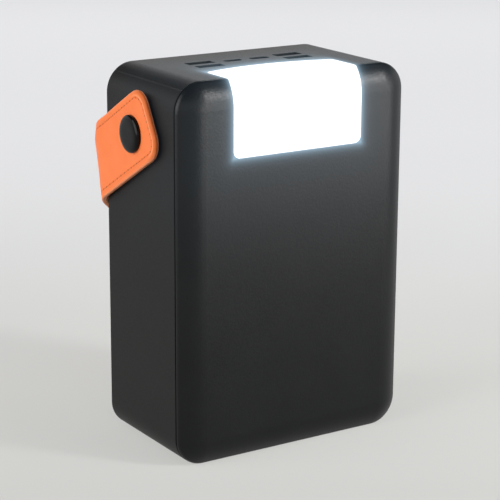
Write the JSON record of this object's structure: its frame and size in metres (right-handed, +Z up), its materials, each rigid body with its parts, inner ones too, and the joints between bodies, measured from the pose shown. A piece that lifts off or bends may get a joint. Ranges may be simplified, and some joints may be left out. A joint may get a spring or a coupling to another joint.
{
  "type": "portable power pack",
  "caption": "Tall boxy portable power pack with a lamp wrapped over its front top edge, charging sockets on top and a swinging carry strap held by press studs.",
  "frame": {"origin": "middle of the flat base the housing stands on", "axes": "+Z up the housing's height, lamp facing -Y, +X to the right as the lamp's front is seen"},
  "size_m": [0.1212, 0.0808, 0.16],
  "materials": {
    "shell_plastic": "satin",
    "cover_plastic": "soft satin",
    "diffuser": "frosted, lit",
    "white_plastic": "matte",
    "white_board": "gloss solder mask",
    "led": "gloss",
    "white_lead": "satin",
    "green_board": "gloss solder mask",
    "steel": "plated",
    "black_plastic": "matte",
    "ferrite": "matte",
    "capacitor_can": "satin",
    "holder_plastic": "matte",
    "cell_sleeve": "gloss sleeve",
    "red_lead": "satin",
    "black_lead": "satin",
    "foam": "open foam",
    "window_plastic": "gloss smoked",
    "tan_leather": "smooth stitched",
    "stud_black": "gloss black"
  },
  "bodies": {
    "housing": {"rear_shell": "shell_plastic", "front_cover": "cover_plastic", "lamp_diffuser": "diffuser", "lamp_box": "white_plastic", "lamp_boards": "white_board", "lamp_leds": "led", "lamp_lead": "white_lead", "main_board": "green_board", "board_screws": "steel", "usb_a_shells": "steel", "usb_a_tongues": "black_plastic", "usb_c_shell": "steel", "usb_c_tongue": "black_plastic", "micro_usb_shell": "steel", "micro_usb_tongue": "black_plastic", "inductors": "ferrite", "capacitors": "capacitor_can", "controller_chips": "black_plastic", "board_connectors": "white_plastic", "holder_lower": "holder_plastic", "holder_middle": "holder_plastic", "holder_upper": "holder_plastic", "cells_lower": "cell_sleeve", "cells_upper": "cell_sleeve", "nickel_strips": "steel", "battery_lead_red": "red_lead", "battery_lead_black": "black_lead", "foam_pads": "foam", "button_board": "green_board", "tact_switch": "black_plastic", "button_ribbon": "white_lead", "display_module": "black_plastic", "charge_window": "window_plastic", "press_studs": "steel", "stud_washers": "steel"},
    "strap": {"carry_strap": "tan_leather", "stud_caps": "stud_black", "stud_sockets": "steel"},
    "button": {"power_button": "cover_plastic"}
  },
  "joints": [
    {"name": "strap_swing", "type": "hinge", "parent": "housing", "child": "strap", "pos_m": [0, 0.0042, 0.1353], "axis": [1, 0, 0], "range_deg": [0, 120]},
    {"name": "button_press", "type": "slide", "parent": "housing", "child": "button", "axis": [-1, 0, 0], "range_m": [0, 0.0006], "stiffness_N_per_m": 900}
  ]
}
